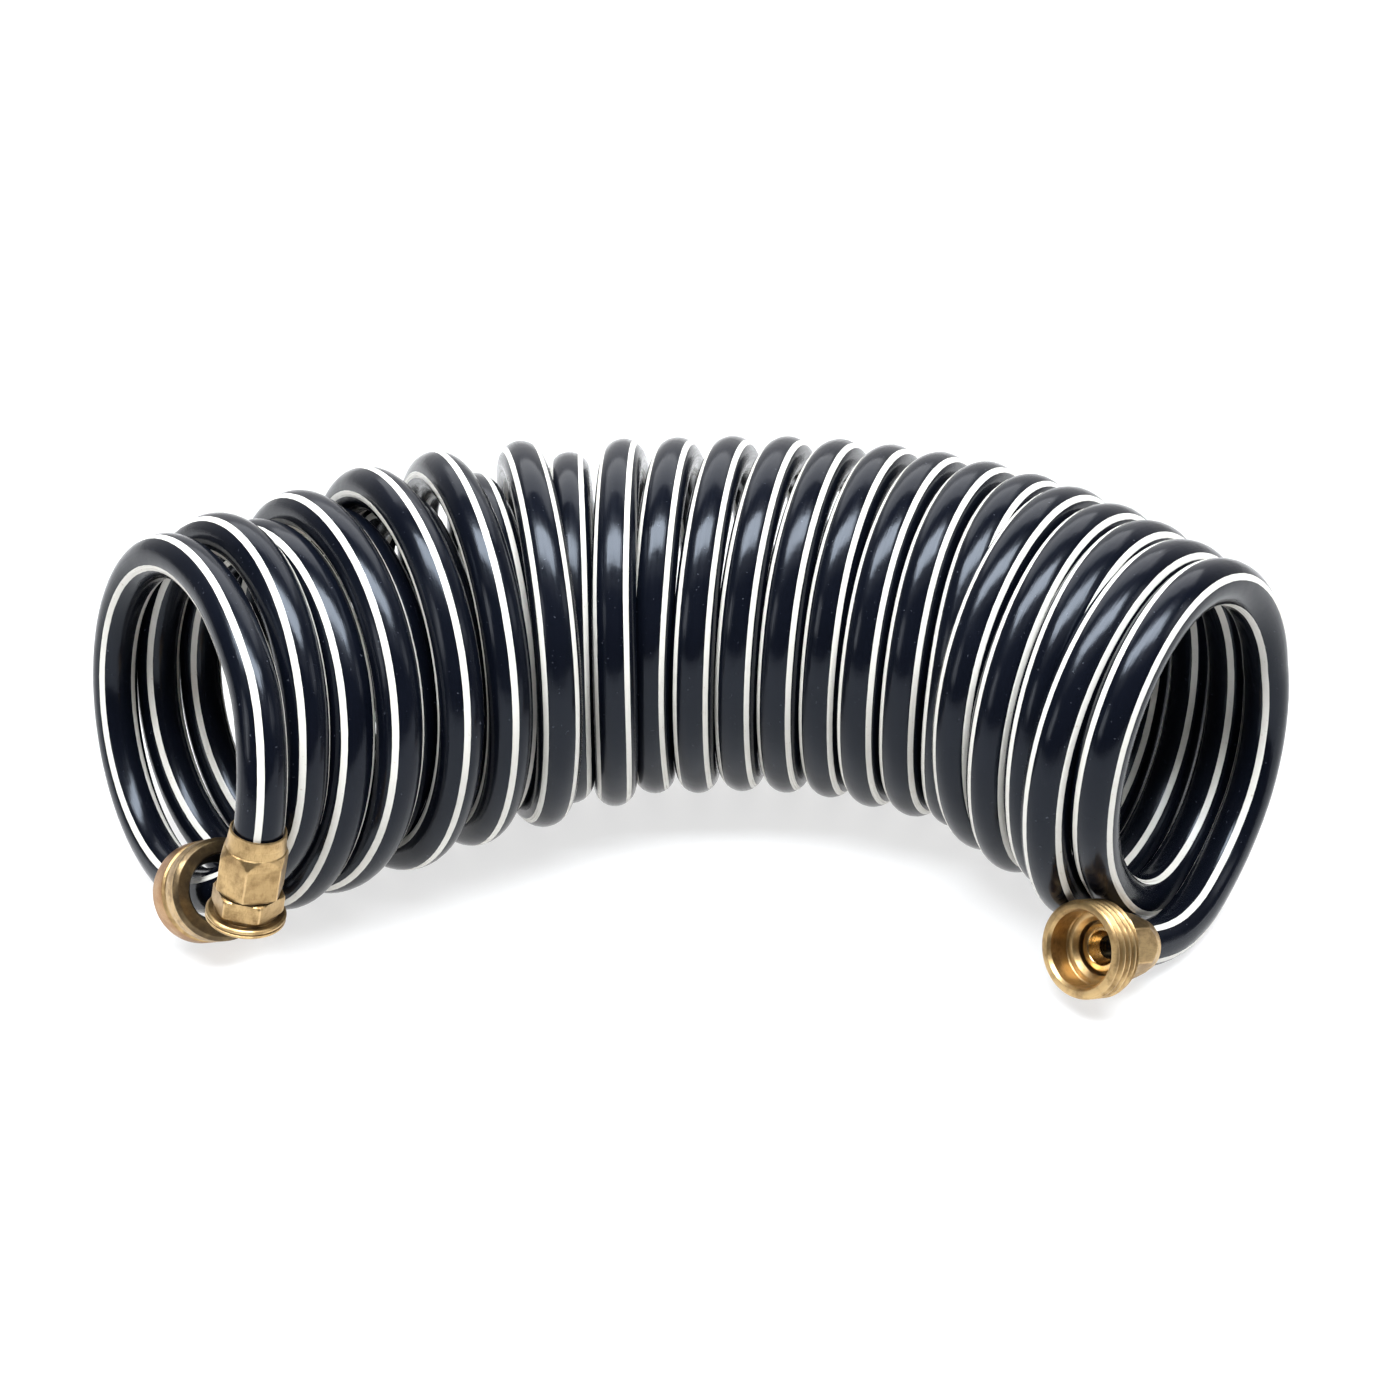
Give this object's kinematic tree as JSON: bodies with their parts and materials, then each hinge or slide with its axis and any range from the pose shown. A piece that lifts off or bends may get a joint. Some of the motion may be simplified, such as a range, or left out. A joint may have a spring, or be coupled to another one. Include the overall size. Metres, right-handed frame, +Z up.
{
  "type": "self-coiling garden hose",
  "caption": "Self-coiling polyurethane garden hose lying in its curved coil, with a brass swivel coupling on one end and a brass threaded coupling on the other.",
  "frame": {"origin": "middle of the footprint, on the floor the coil lies on", "axes": "+X along the length of the curved coil, from the swivel end towards the threaded end; -Y the open side of the curve; +Z up"},
  "size_m": [0.3579, 0.1887, 0.1129],
  "materials": {
    "hose": "glossy blue-black polyurethane with four cream-white stripes along it",
    "brass": "turned brass, fine lathe marks",
    "washer": "matt black rubber"
  },
  "bodies": {
    "hose": {"coil_body": "hose", "first_loop": "hose", "last_loop": "hose", "swivel_stem": "brass", "stem_hose_barb": "brass", "stem_clamp_sleeve": "brass", "stem_clamp_nut": "brass", "threaded_socket": "brass", "socket_hose_barb": "brass", "socket_clamp_sleeve": "brass", "socket_clamp_nut": "brass"},
    "nut": {"swivel_nut": "brass", "nut_washer": "washer"}
  },
  "joints": [
    {"name": "nut_swivel", "type": "hinge", "parent": "hose", "child": "nut", "pos_m": [-0.13218, -0.05419, 0.01727], "axis": [0.6215, -0.5885, 0.5172], "continuous": true}
  ]
}
